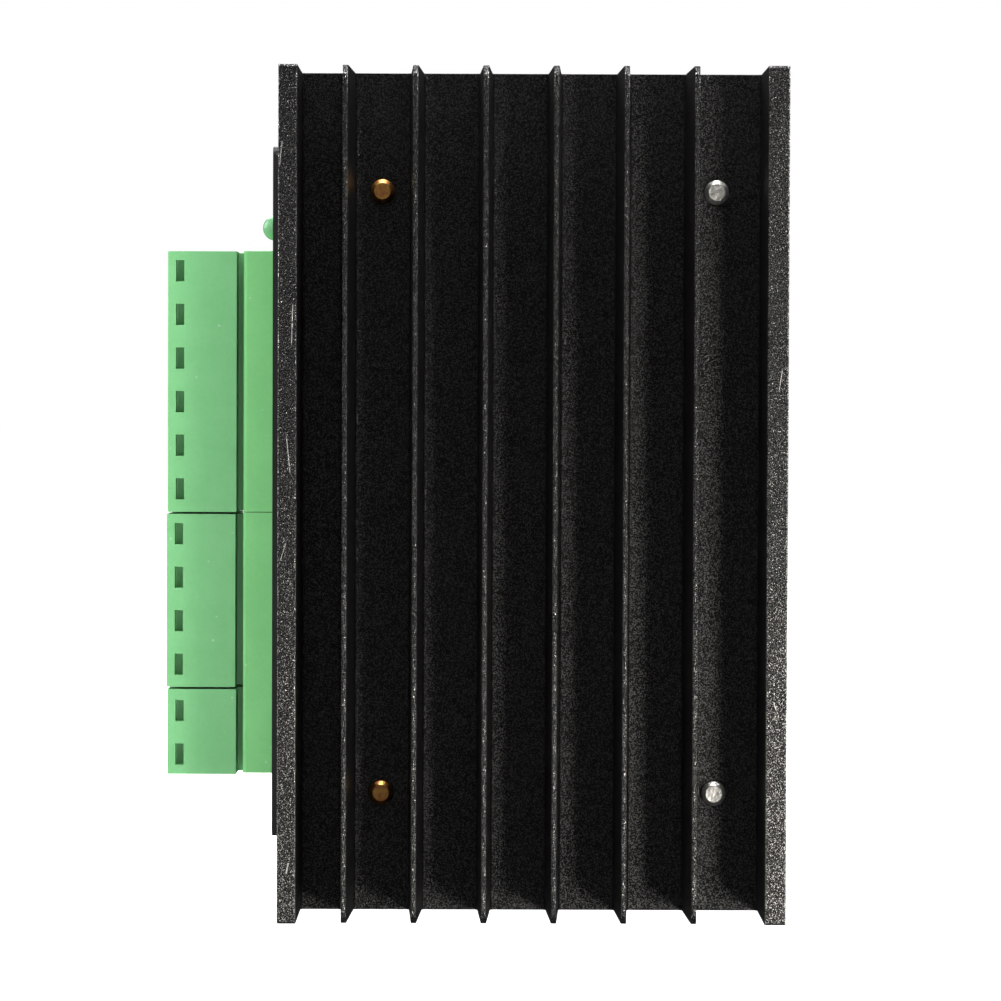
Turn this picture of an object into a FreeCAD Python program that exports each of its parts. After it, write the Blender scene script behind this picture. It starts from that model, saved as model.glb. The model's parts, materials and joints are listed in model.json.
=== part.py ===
import FreeCAD, Part
import operator
import os
from types import SimpleNamespace

import Sketcher

# A two-phase stepper driver module: a finned aluminium heatsink with a sheet cover over its board,
# pluggable screw terminals on one long side and a row of setting switches on the other.
#
# Frame, in millimetres: +Z runs up along the fins, the fin tips lie in the plane Y = 0, the cover
# faces +Y, and the terminals point to -X. The origin is the middle of the heatsink's lower end.

doc = FreeCAD.newDocument("stepper_driver_module")

DIMENSIONS = [
    # Heatsink extrusion
    ("HeatsinkLength", 96.0),
    ("HeatsinkWidth", 57.0),
    ("FinHeight", 13.0),
    ("BaseThickness", 3.5),
    ("LeftFlangeThickness", 2.1),
    ("RightFlangeThickness", 2.38),
    ("TipChamfer", 0.12),
    ("FinCount", 6),
    ("FirstFinX", -21.05),
    ("FinPitch", 7.85),
    ("FinTipThickness", 0.55),
    ("FinRootThickness", 1.5),
    ("RootRadius", 0.4),
    ("FinEndBevel", 1.1),
    ("FlangeEndBevel", 0.25),
    # Board and its screws
    ("StandoffHeight", 2.0),
    ("BoardThickness", 1.6),
    ("BoardWidth", 55.0),
    ("BoardLength", 76.0),
    ("BoardScrewSpan", 69.0),
    ("LeftScrewX", -17.2),
    ("RightScrewX", 21.05),
    ("ScrewMajorRadius", 1.4),
    ("ScrewMinorRadius", 1.17),
    ("ScrewPitch", 0.5),
    ("ScrewTipDepth", 0.95),
    ("ScrewTipRadius", 0.95),
    ("ScrewHeadRadius", 2.75),
    ("ScrewHeadHeight", 1.9),
    ("CrossWidth", 0.7),
    ("CrossLength", 2.8),
    ("CrossDepth", 1.1),
    ("HoleClearance", 0.06),
    ("StandoffRadius", 2.9),
    # Cover
    ("CoverLeftX", -29.75),
    ("CoverRightX", 29.4),
    ("CoverLength", 79.2),
    ("CoverFrontY", 37.0),
    ("CoverSkirtY", 12.6),
    ("CoverWall", 0.8),
    ("CoverBendRadius", 1.4),
    ("CoverSlit", 0.25),
    ("SkirtCornerRadius", 1.0),
    ("WindowClearance", 0.3),
    ("CoverScrewY", 14.75),
    ("CoverScrewSpan", 66.0),
    ("CoverScrewRadius", 1.2),
    ("CoverScrewHeadRadius", 1.95),
    ("CoverScrewLength", 6.0),
    ("LabelWidth", 52.0),
    ("LabelLength", 71.0),
    ("LabelThickness", 0.15),
    # Terminal headers
    ("TerminalPitch", 5.08),
    ("TerminalLowerZ", 15.0),
    ("HeaderPoles", 6),
    ("HeaderFrontX", -33.55),
    ("HeaderDepth", 12.0),
    ("HeaderHeight", 8.6),
    ("HeaderWall", 1.0),
    ("HeaderCavityDepth", 9.0),
    ("HeaderGap", 0.06),
    ("HeaderChamfer", 0.7),
    ("PinSize", 1.0),
    ("PinHeight", 5.2),
    ("PinReach", 7.0),
    ("PinTail", 1.3),
    ("PinClearance", 0.08),
    # Terminal plugs
    ("PlugFaceX", -42.35),
    ("PlugShoulderX", -34.35),
    ("PlugHeight", 15.0),
    ("PlugLift", 0.1),
    ("PlugGap", 0.25),
    ("SignalPlugRise", 0.13),
    ("PlugJointDrop", 0.13),
    ("SupplyPlugDrop", 0.17),
    ("MotorPlugStandoff", 0.1),
    ("PlugEdgeChamfer", 0.6),
    ("PlugFootSlope", 0.1),
    ("PlugFootLength", 2.1),
    ("NoseClearance", 0.2),
    ("NoseReach", 8.6),
    ("NoseFloor", 3.6),
    ("CollarReach", 0.74),
    ("CollarFloor", 3.6),
    ("CollarInset", 0.1),
    ("ProbeSlotLength", 2.48),
    ("ProbeSlotWidth", 0.97),
    ("ProbeSlotInset", 1.41),
    ("SignalSlotOffset", 0.14),
    ("MotorSlotOffset", -0.02),
    ("SupplySlotOffset", -0.37),
    ("ProbeSlotDepth", 1.6),
    ("WireEntry", 3.6),
    ("WireEntryHeight", 3.4),
    ("ChamberWidth", 4.1),
    ("ChamberDepth", 4.7),
    ("ChamberInset", 1.1),
    ("ChamberHeight", 8.9),
    ("ClampTravel", 2.5),
    ("CageWidth", 3.7),
    ("CageDepth", 4.1),
    ("CageWall", 0.8),
    ("CageTopWall", 1.2),
    ("CageOpening", 4.1),
    ("BarThickness", 0.8),
    ("BarWidth", 2.4),
    ("BarLength", 4.5),
    ("SocketSize", 2.4),
    ("SocketBore", 1.15),
    ("SocketLength", 10.2),
    ("ClampScrewRadius", 1.2),
    ("ClampHeadRadius", 1.9),
    ("ClampHeadHeight", 1.7),
    ("ClampHeadSlot", 0.6),
    ("ClampSlotDepth", 0.9),
    ("ClampHeadRecess", 0.9),
    ("GuideClearance", 0.2),
    # Indicator lamp
    ("LampZ", 78.72),
    ("LampHeight", 4.6),
    ("LampTipX", -31.55),
    ("LampRadius", 1.45),
    ("LampBodyLength", 3.85),
    ("LampFlangeRadius", 1.9),
    ("LampFlangeLength", 1.0),
    ("LampLeadSize", 0.5),
    ("LampLeadGap", 2.54),
    ("LampLeadReach", 2.4),
    # Setting switches
    ("SwitchCount", 6),
    ("SwitchPitch", 2.54),
    ("SwitchFaceX", 29.2),
    ("SwitchDepth", 8.2),
    ("SwitchHeight", 9.4),
    ("SwitchEndMargin", 1.8),
    ("SliderSlotWidth", 1.5),
    ("SliderSlotHeight", 3.8),
    ("SliderSlotDepth", 1.6),
    ("SliderWidth", 1.3),
    ("SliderHeight", 1.7),
    ("SliderProud", 0.5),
    ("SliderTravel", 1.8),
    ("SwitchPinSize", 0.5),
    ("SwitchPinTail", 1.2),
    # Parts on the board
    ("CapacitorRadius", 5.0),
    ("CapacitorHeight", 12.5),
    ("CapacitorSleeve", 0.15),
    ("OptocouplerLength", 9.6),
    ("OptocouplerWidth", 6.4),
    ("OptocouplerHeight", 3.4),
    ("ChipSize", 9.0),
    ("ChipHeight", 1.0),
    ("SenseLength", 6.3),
    ("SenseWidth", 3.2),
    ("SenseHeight", 0.7),
    ("SenseZ", 44.0),
    ("RegulatorX", 2.0),
    ("RegulatorZ", 60.0),
    ("RegulatorLength", 6.5),
    ("RegulatorWidth", 6.2),
    ("RegulatorHeight", 2.3),
    ("RegulatorTabRise", 4.5),
    ("RegulatorTabLength", 3.0),
    ("RegulatorTabWidth", 5.2),
    ("RegulatorTabHeight", 0.5),
    ("DiodeX", -12.0),
    ("DiodeZ", 30.0),
    ("DiodeLength", 6.9),
    ("DiodeWidth", 5.9),
]

sheet = doc.addObject("Spreadsheet::Sheet", "Sizes")
for row, (alias, number) in enumerate(DIMENSIONS, start=1):
    sheet.set("A%d" % row, alias)
    sheet.set("B%d" % row, str(number))
    sheet.setAlias("B%d" % row, alias)


class Size:
    """A number together with the sheet expression that gives it."""

    def __init__(self, value, text):
        self.value = value
        self.text = text

    def __add__(self, other):
        return joined(self, "+", other)

    def __radd__(self, other):
        return joined(other, "+", self)

    def __sub__(self, other):
        return joined(self, "-", other)

    def __rsub__(self, other):
        return joined(other, "-", self)

    def __mul__(self, other):
        return joined(self, "*", other)

    def __rmul__(self, other):
        return joined(other, "*", self)

    def __truediv__(self, other):
        return joined(self, "/", other)

    def __neg__(self):
        return joined(0, "-", self)


SIGNS = {"+": operator.add, "-": operator.sub, "*": operator.mul, "/": operator.truediv}


def as_size(item):
    """Takes a Size or a plain number and returns a Size."""
    if isinstance(item, Size):
        return item
    return Size(item, repr(item))


def joined(left, sign, right):
    """Works out one step of arithmetic, both as a number and as sheet text."""
    left = as_size(left)
    right = as_size(right)
    value = SIGNS[sign](left.value, right.value)
    return Size(value, "(%s %s %s)" % (left.text, sign, right.text))


S = SimpleNamespace(**{alias: Size(number, "Sizes." + alias) for alias, number in DIMENSIONS})

# ---------------------------------------------------------------------------------------------
# Small helpers: each makes one document object and binds its sizes to the sheet
# ---------------------------------------------------------------------------------------------

TURNS = {
    "+z": FreeCAD.Rotation(),
    "+x": FreeCAD.Rotation(FreeCAD.Vector(0, 1, 0), 90),
    "-x": FreeCAD.Rotation(FreeCAD.Vector(0, 1, 0), -90),
    "+y": FreeCAD.Rotation(FreeCAD.Vector(1, 0, 0), -90),
    "-y": FreeCAD.Rotation(FreeCAD.Vector(1, 0, 0), 90),
}
OVERCUT = 0.5


def bind(item, path, size):
    """Ties one property of an object to the sheet."""
    item.setExpression(path, as_size(size).text)


def place(item, at):
    """Ties an object's position to the sheet."""
    for axis, size in zip("xyz", at):
        bind(item, "Placement.Base." + axis, size)
    return item


def box(name, x, y, z):
    """A block between two ends on each axis."""
    item = doc.addObject("Part::Box", name)
    for path, (low, high) in zip(("Length", "Width", "Height"), (x, y, z)):
        bind(item, path, as_size(high) - low)
    return place(item, (x[0], y[0], z[0]))


def rod(name, radius, length, at, way):
    """A cylinder that starts at a point and runs one way."""
    item = doc.addObject("Part::Cylinder", name)
    bind(item, "Radius", radius)
    bind(item, "Height", length)
    item.Placement = FreeCAD.Placement(FreeCAD.Vector(), TURNS[way])
    return place(item, at)


def cone(name, first_radius, second_radius, length, at, way):
    """A cone that starts at a point and runs one way."""
    item = doc.addObject("Part::Cone", name)
    bind(item, "Radius1", first_radius)
    bind(item, "Radius2", second_radius)
    bind(item, "Height", length)
    item.Placement = FreeCAD.Placement(FreeCAD.Vector(), TURNS[way])
    return place(item, at)


def fuse(name, items):
    """Joins pieces that touch into one solid."""
    item = doc.addObject("Part::MultiFuse", name)
    item.Shapes = items
    item.Refine = True
    return item


def group(name, items):
    """Keeps several separate solids as one sub-part."""
    item = doc.addObject("Part::Compound", name)
    item.Links = items
    return item


def cut(name, base, tools):
    """Takes tools away from a base."""
    item = doc.addObject("Part::Cut", name)
    item.Base = base
    item.Tool = tools[0] if len(tools) == 1 else fuse(name + "_tools", tools)
    item.Refine = True
    return item


def outline(sketch, points):
    """Draws a closed straight-sided outline whose corners are bound to the sheet."""
    corners = [FreeCAD.Vector(as_size(x).value, as_size(y).value, 0) for x, y in points]
    for start, end in zip(corners, corners[1:] + corners[:1]):
        sketch.addGeometry(Part.LineSegment(start, end), False)
    count = len(points)
    for index in range(count):
        before = (index - 1) % count
        sketch.addConstraint(Sketcher.Constraint("Coincident", index, 1, before, 2))
    for index, point in enumerate(points):
        for kind, size in zip(("DistanceX", "DistanceY"), point):
            start_value = as_size(size).value
            number = sketch.addConstraint(Sketcher.Constraint(kind, -1, 1, index, 1, start_value))
            bind(sketch, "Constraints[%d]" % number, size)
    return sketch


def extruded(name, points, z):
    """A straight bar along Z with the given XY outline."""
    sketch = outline(doc.addObject("Sketcher::SketchObject", name + "_outline"), points)
    item = doc.addObject("Part::Extrusion", name)
    item.Base = sketch
    item.DirMode = "Custom"
    item.Dir = FreeCAD.Vector(0, 0, 1)
    item.Solid = True
    bind(item, "LengthFwd", as_size(z[1]) - z[0])
    return place(item, (0, 0, z[0]))


def turned(name, points, at):
    """A turned piece about a line along Y: each point is a radius and a distance along Y."""
    sketch = outline(doc.addObject("Sketcher::SketchObject", name + "_profile"), points)
    item = doc.addObject("Part::Revolution", name)
    item.Source = sketch
    item.Axis = FreeCAD.Vector(0, 1, 0)
    item.Angle = 360
    item.Solid = True
    return place(item, at)


def rounded(name, base, radius, picks):
    """Rounds the edges of a base that a test picks out."""
    doc.recompute()
    item = doc.addObject("Part::Fillet", name)
    item.Base = base
    chosen = [number for number, edge in enumerate(base.Shape.Edges, start=1) if picks(edge)]
    item.Edges = [(number, radius.value, radius.value) for number in chosen]
    return item


NODES = []


def node(label, item):
    """Names a finished sub-part and keeps it for the hand-in."""
    item.Label = label
    NODES.append(item)
    return item


# ---------------------------------------------------------------------------------------------
# Places that several sub-parts share
# ---------------------------------------------------------------------------------------------

half_width = S.HeatsinkWidth / 2
middle_z = S.HeatsinkLength / 2
base_front = S.FinHeight + S.BaseThickness
board_under = base_front + S.StandoffHeight
board_top = board_under + S.BoardThickness
board_screw_zs = (middle_z - S.BoardScrewSpan / 2, middle_z + S.BoardScrewSpan / 2)
cover_left_inner = S.CoverLeftX + S.CoverWall
cover_right_inner = S.CoverRightX - S.CoverWall
cover_low = middle_z - S.CoverLength / 2
cover_high = middle_z + S.CoverLength / 2
cover_screw_zs = (middle_z - S.CoverScrewSpan / 2, middle_z + S.CoverScrewSpan / 2)
header_back = S.HeaderFrontX + S.HeaderDepth
header_top = board_top + S.HeaderHeight
pin_y = board_top + S.PinHeight
terminal_top_z = S.TerminalLowerZ + 2 * S.HeaderPoles * S.TerminalPitch
lamp_y = board_top + S.LampHeight

# ---------------------------------------------------------------------------------------------
# Heatsink: one extrusion along Z with a thick flange each side and tapered fins between them
# ---------------------------------------------------------------------------------------------


def body_sketch(body, role, name):
    """A sketch on one of a body's own origin planes."""
    sketch = body.newObject("Sketcher::SketchObject", name)
    plane = [feature for feature in body.Origin.OriginFeatures if feature.Role == role][0]
    sketch.AttachmentSupport = [(plane, "")]
    sketch.MapMode = "FlatFace"
    return sketch


def end_bevel(body, name, bevel, width):
    """Cuts a 45 degree bevel off both ends of whatever stands at the tip plane."""
    low = bevel + OVERCUT
    pocket = None
    for end, tip, inner in (("lower", -OVERCUT, low), ("upper", S.HeatsinkLength + OVERCUT,
                                                       S.HeatsinkLength - low)):
        sketch = body_sketch(body, "YZ_Plane", name + "_" + end + "_sketch")
        outline(sketch, [(-OVERCUT, tip), (low, tip), (-OVERCUT, inner)])
        pocket = body.newObject("PartDesign::Pocket", name + "_" + end)
        pocket.Profile = sketch
        pocket.Midplane = True
        bind(pocket, "Length", width)
    return pocket


def heatsink_body():
    """Pads the channel and one fin, repeats the fin, bevels the ends and rounds the roots."""
    body = doc.addObject("PartDesign::Body", "heatsink_extrusion")
    chamfer = S.TipChamfer
    left_inner = S.LeftFlangeThickness - half_width
    right_inner = half_width - S.RightFlangeThickness
    channel = outline(body_sketch(body, "XY_Plane", "channel_outline"), [
        (-half_width, chamfer),
        (chamfer - half_width, 0),
        (left_inner - chamfer, 0),
        (left_inner, chamfer),
        (left_inner, S.FinHeight),
        (right_inner, S.FinHeight),
        (right_inner, chamfer),
        (right_inner + chamfer, 0),
        (half_width - chamfer, 0),
        (half_width, chamfer),
        (half_width, base_front),
        (-half_width, base_front),
    ])
    channel_pad = body.newObject("PartDesign::Pad", "channel")
    channel_pad.Profile = channel
    bind(channel_pad, "Length", S.HeatsinkLength)

    tip = S.FinTipThickness / 2
    root = S.FinRootThickness / 2
    sunk = S.FinHeight + OVERCUT
    fin = outline(body_sketch(body, "XY_Plane", "fin_outline"), [
        (S.FirstFinX - root, S.FinHeight),
        (S.FirstFinX - tip, chamfer),
        (S.FirstFinX - tip + chamfer, 0),
        (S.FirstFinX + tip - chamfer, 0),
        (S.FirstFinX + tip, chamfer),
        (S.FirstFinX + root, S.FinHeight),
        (S.FirstFinX + root, sunk),
        (S.FirstFinX - root, sunk),
    ])
    fin_pad = body.newObject("PartDesign::Pad", "fin")
    fin_pad.Profile = fin
    bind(fin_pad, "Length", S.HeatsinkLength)

    fins = body.newObject("PartDesign::LinearPattern", "fins")
    fins.Originals = [fin_pad]
    x_axis = [feature for feature in body.Origin.OriginFeatures if feature.Role == "X_Axis"][0]
    fins.Direction = (x_axis, [""])
    bind(fins, "Length", (S.FinCount - 1) * S.FinPitch)
    bind(fins, "Occurrences", S.FinCount)
    body.Tip = fins

    end_bevel(body, "flange_ends", S.FlangeEndBevel, S.HeatsinkWidth + 2 * OVERCUT)
    bevelled = end_bevel(body, "fin_ends", S.FinEndBevel,
                         S.HeatsinkWidth - 2 * S.RightFlangeThickness - 2 * OVERCUT)
    body.Tip = bevelled
    doc.recompute()

    at_root = []
    for number, edge in enumerate(bevelled.Shape.Edges, start=1):
        bounds = edge.BoundBox
        along_z = bounds.ZLength > S.HeatsinkLength.value / 2
        at_base = abs(bounds.YMin - S.FinHeight.value) < 0.01
        if along_z and at_base and bounds.YLength < 0.01:
            at_root.append("Edge%d" % number)
    fillet = body.newObject("PartDesign::Fillet", "root_rounds")
    fillet.Base = (bevelled, at_root)
    bind(fillet, "Radius", S.RootRadius)
    body.Tip = fillet
    return body


heatsink_drills = []
for side, screw_x in (("left", S.LeftScrewX), ("right", S.RightScrewX)):
    for end, screw_z in zip(("lower", "upper"), board_screw_zs):
        heatsink_drills.append(rod(
            "board_tap_%s_%s" % (side, end), S.ScrewMajorRadius + S.HoleClearance,
            S.BaseThickness + 2 * OVERCUT, (screw_x, S.FinHeight - OVERCUT, screw_z), "+y"))
for side, face, way in (("left", -half_width - OVERCUT, "+x"), ("right", half_width + OVERCUT, "-x")):
    for end, screw_z in zip(("lower", "upper"), cover_screw_zs):
        heatsink_drills.append(rod(
            "cover_tap_%s_%s" % (side, end), S.CoverScrewRadius + S.HoleClearance,
            S.CoverScrewLength + OVERCUT, (face, S.CoverScrewY, screw_z), way))
node("heatsink", cut("drilled_heatsink", heatsink_body(), heatsink_drills))

# ---------------------------------------------------------------------------------------------
# Board, standoffs and the four screws whose tips come through the heatsink's base
# ---------------------------------------------------------------------------------------------

half_board = S.BoardWidth / 2
board_low = middle_z - S.BoardLength / 2
board_high = middle_z + S.BoardLength / 2
lead_holes = []


def board_hole(name, radius, x, z):
    """Adds one hole to the list that the board is drilled with."""
    start = (x, board_under - OVERCUT, z)
    lead_holes.append(rod(name, radius, S.BoardThickness + 2 * OVERCUT, start, "+y"))


def board_screw(name, x, z):
    """A pan-head machine screw along Y: threads at the tip, a cross in the head."""
    tip_y = S.FinHeight - S.ScrewTipDepth
    minor = S.ScrewMinorRadius
    major = S.ScrewMajorRadius
    points = [(0, tip_y), (S.ScrewTipRadius, tip_y)]
    thread_start = tip_y + 0.5 * S.ScrewPitch
    points.append((minor, thread_start))
    for crest in range(4):
        root_y = thread_start + crest * S.ScrewPitch
        points.append((major, root_y + 0.4 * S.ScrewPitch))
        points.append((major, root_y + 0.6 * S.ScrewPitch))
        points.append((minor, root_y + S.ScrewPitch))
    head_top = board_top + S.ScrewHeadHeight
    points += [
        (minor, board_top),
        (S.ScrewHeadRadius, board_top),
        (S.ScrewHeadRadius, head_top - 0.3 * S.ScrewHeadHeight),
        (0.7 * S.ScrewHeadRadius, head_top),
        (0, head_top),
    ]
    blank = turned(name + "_blank", points, (x, 0, z))
    half_slot = S.CrossWidth / 2
    half_long = S.CrossLength / 2
    slot_y = (head_top - S.CrossDepth, head_top + OVERCUT)
    wide = box(name + "_wide", (x - half_long, x + half_long), slot_y,
               (z - half_slot, z + half_slot))
    tall = box(name + "_tall", (x - half_slot, x + half_slot), slot_y,
               (z - half_long, z + half_long))
    return cut(name, blank, [wide, tall])


def standoff(name, x, z):
    """A plain ring between the heatsink and the board."""
    start = (x, base_front, z)
    ring = rod(name + "_outer", S.StandoffRadius, S.StandoffHeight, start, "+y")
    bore = rod(name + "_bore", S.ScrewMajorRadius + 2 * S.HoleClearance, S.StandoffHeight, start, "+y")
    return cut(name, ring, [bore])


standoffs = []
for finish, screw_x in (("yellow", S.LeftScrewX), ("silver", S.RightScrewX)):
    pair = []
    for end, screw_z in zip(("lower", "upper"), board_screw_zs):
        pair.append(board_screw("%s_screw_%s" % (finish, end), screw_x, screw_z))
        standoffs.append(standoff("standoff_%s_%s" % (finish, end), screw_x, screw_z))
        board_hole("screw_hole_%s_%s" % (finish, end), S.ScrewMajorRadius + 2 * S.HoleClearance,
                   screw_x, screw_z)
    node("board_screws_" + finish, group(finish + "_screws", pair))
node("standoffs", group("standoff_rings", standoffs))

# ---------------------------------------------------------------------------------------------
# Terminal headers and their pins
# ---------------------------------------------------------------------------------------------

HEADERS = (("power", 0), ("signal", 1))
pin_half = S.PinSize / 2
pin_tail_x = header_back - 1.2 * S.PinSize
slot_half = pin_half + S.PinClearance
cavity_back = S.HeaderFrontX + S.HeaderCavityDepth


def header_pin(name, z):
    """A square pin that comes out of the board, bends and points at the plug."""
    tip_x = cavity_back - S.PinReach
    across = box(name + "_across", (tip_x, pin_tail_x + pin_half),
                 (pin_y - pin_half, pin_y + pin_half), (z - pin_half, z + pin_half))
    down = box(name + "_down", (pin_tail_x - pin_half, pin_tail_x + pin_half),
               (board_under - S.PinTail, pin_y), (z - pin_half, z + pin_half))
    return fuse(name, [across, down])


for header, order in HEADERS:
    low = S.TerminalLowerZ + order * S.HeaderPoles * S.TerminalPitch
    high = low + S.HeaderPoles * S.TerminalPitch - S.HeaderGap
    front = S.HeaderFrontX
    shell = extruded(header + "_header_shell", [
        (front + S.HeaderChamfer / 2, board_top),
        (header_back, board_top),
        (header_back, header_top),
        (front + S.HeaderChamfer, header_top),
        (front, header_top - S.HeaderChamfer),
        (front, board_top + S.HeaderChamfer / 2),
    ], (low, high))
    hollows = [box(header + "_header_cavity", (front - OVERCUT, cavity_back),
                   (board_top + S.HeaderWall, header_top - S.HeaderWall),
                   (low + S.HeaderWall, high - S.HeaderWall))]
    pins = []
    for pole in range(int(S.HeaderPoles.value)):
        pole_z = low + (pole + 0.5) * S.TerminalPitch
        tag = "%s_%d" % (header, pole + 1)
        pins.append(header_pin("header_pin_" + tag, pole_z))
        hollows.append(box("pin_slot_" + tag, (cavity_back - OVERCUT, pin_tail_x + slot_half),
                           (board_top - OVERCUT, pin_y + slot_half),
                           (pole_z - slot_half, pole_z + slot_half)))
        board_hole("pin_hole_" + tag, S.PinSize * 0.75, pin_tail_x, pole_z)
    node("header_" + header, cut(header + "_header", shell, hollows))
    node("header_pins_" + header, group(header + "_header_pins", pins))

# ---------------------------------------------------------------------------------------------
# Terminal plugs: housing, contacts, and a screw with a rising cage at every pole
# ---------------------------------------------------------------------------------------------

PLUGS = (("supply", 0, 2), ("motor", 2, 4), ("signal", 6, 6))
plug_low_y = board_top + S.PlugLift
plug_top_y = plug_low_y + S.PlugHeight
bar_under = pin_y + S.SocketSize
bar_top = bar_under + S.BarThickness
cage_inner_low = bar_top + 0.3 - S.CageOpening
cage_low = cage_inner_low - S.CageWall
screw_tip_y = bar_top + S.HoleClearance
head_top_y = plug_top_y - S.ClampHeadRecess
head_under_y = head_top_y - S.ClampHeadHeight


def plug_housing(name, face, low, high, poles, first_z, nose_low, nose_high):
    """The solids of a plug's green body, and the chambers, entries and guides cut from them."""
    shoulder = face + (S.PlugShoulderX - S.PlugFaceX)
    chamfer = S.PlugEdgeChamfer
    block = extruded(name + "_block", [
        (face, plug_low_y + S.PlugFootSlope),
        (face + S.PlugFootLength, plug_low_y),
        (shoulder, plug_low_y),
        (shoulder, plug_top_y - chamfer),
        (shoulder - chamfer, plug_top_y),
        (face + 2 * chamfer, plug_top_y),
        (face, plug_top_y - 2 * chamfer),
    ], (low, high))
    collar = box(name + "_collar", (shoulder, shoulder + S.CollarReach),
                 (board_top + S.CollarFloor, header_top), (low + S.CollarInset, high - S.CollarInset))
    nose_top = header_top - S.HeaderWall - S.NoseClearance
    nose = box(name + "_nose", (shoulder, shoulder + S.NoseReach),
               (board_top + S.NoseFloor, nose_top), (nose_low, nose_high))
    chamber_x = face + S.ChamberInset
    half_chamber = S.ChamberWidth / 2
    half_entry = S.WireEntry / 2
    half_socket = S.SocketSize / 2 + S.PinClearance
    tools = []
    for pole in range(poles):
        z = first_z + pole * S.TerminalPitch
        tag = "%s_%d" % (name, pole + 1)
        tools.append(box(tag + "_chamber", (chamber_x, chamber_x + S.ChamberDepth),
                         (cage_low - 0.15, cage_low + S.ChamberHeight),
                         (z - half_chamber, z + half_chamber)))
        tools.append(box(tag + "_entry", (face - OVERCUT, chamber_x + OVERCUT),
                         (cage_inner_low - 0.2, cage_inner_low - 0.2 + S.WireEntryHeight),
                         (z - half_entry, z + half_entry)))
        tools.append(rod(tag + "_guide", S.ClampHeadRadius + S.GuideClearance, S.PlugHeight,
                         (chamber_x + S.ChamberDepth / 2, head_under_y - 0.4, z), "+y"))
        tools.append(box(tag + "_socket_space", (chamber_x, shoulder + S.NoseReach + OVERCUT),
                         (pin_y - half_socket, pin_y + half_socket), (z - half_socket, z + half_socket)))
        tools.append(box(tag + "_bar_space", (chamber_x, shoulder - OVERCUT),
                         (pin_y, bar_top + S.PinClearance), (z - half_socket, z + half_socket)))
    return [block, collar, nose], tools


def probe_slots(name, face, low, poles, first_z, offset):
    """One short slot per pole in the face that looks at the heatsink."""
    slots = []
    slot_x = face + S.ProbeSlotInset
    for pole in range(poles):
        z = first_z + pole * S.TerminalPitch + offset
        slots.append(box("%s_probe_%d" % (name, pole + 1),
                         (slot_x - S.ProbeSlotWidth / 2, slot_x + S.ProbeSlotWidth / 2),
                         (plug_low_y - OVERCUT, plug_low_y + S.ProbeSlotDepth),
                         (z - S.ProbeSlotLength / 2, z + S.ProbeSlotLength / 2)))
    return slots


def contact(name, face, z):
    """A current bar over the wire space, a web down from it and a socket for the header pin."""
    bar_x = face + S.ChamberInset + 0.2
    web_x = bar_x + S.BarLength
    half_bar = S.BarWidth / 2
    half_socket = S.SocketSize / 2
    half_bore = S.SocketBore / 2
    bar = box(name + "_bar", (bar_x, web_x + S.BarThickness), (bar_under, bar_top),
              (z - half_bar, z + half_bar))
    web = box(name + "_web", (web_x, web_x + S.BarThickness), (pin_y - half_socket, bar_top),
              (z - half_socket, z + half_socket))
    socket = box(name + "_socket", (web_x + S.BarThickness, web_x + S.SocketLength),
                 (pin_y - half_socket, pin_y + half_socket), (z - half_socket, z + half_socket))
    bore = box(name + "_bore", (web_x + S.BarThickness + OVERCUT, web_x + S.SocketLength + OVERCUT),
               (pin_y - half_bore, pin_y + half_bore), (z - half_bore, z + half_bore))
    return cut(name, fuse(name + "_blank", [bar, web, socket]), [bore])


def clamp_cage(name, face, z):
    """The frame that a screw draws up against the bar, open along X for the wire."""
    middle_x = face + S.ChamberInset + S.ChamberDepth / 2
    x = (middle_x - S.CageDepth / 2, middle_x + S.CageDepth / 2)
    top = cage_inner_low + S.CageOpening
    outer = box(name + "_outer", x, (cage_low, top + S.CageTopWall),
                (z - S.CageWidth / 2, z + S.CageWidth / 2))
    inner_half = S.CageWidth / 2 - S.CageWall / 2
    inner = box(name + "_inner", (x[0] - OVERCUT, x[1] + OVERCUT), (cage_inner_low, top),
                (z - inner_half, z + inner_half))
    tap = rod(name + "_tap", S.ClampScrewRadius + S.HoleClearance, 2 * S.CageTopWall,
              (middle_x, top - S.CageTopWall / 2, z), "+y")
    return cut(name, outer, [inner, tap])


def clamp_screw(name, face, z):
    """A slotted cheese-head screw that stands on the bar."""
    middle_x = face + S.ChamberInset + S.ChamberDepth / 2
    shank = rod(name + "_shank", S.ClampScrewRadius, head_under_y - screw_tip_y,
                (middle_x, screw_tip_y, z), "+y")
    head = rod(name + "_head", S.ClampHeadRadius, S.ClampHeadHeight, (middle_x, head_under_y, z), "+y")
    half_cut = S.ClampHeadRadius + OVERCUT
    slot = box(name + "_slot", (middle_x - half_cut, middle_x + half_cut),
               (head_top_y - S.ClampSlotDepth, head_top_y + OVERCUT),
               (z - S.ClampHeadSlot / 2, z + S.ClampHeadSlot / 2))
    return cut(name, fuse(name + "_blank", [shank, head]), [slot])


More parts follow.
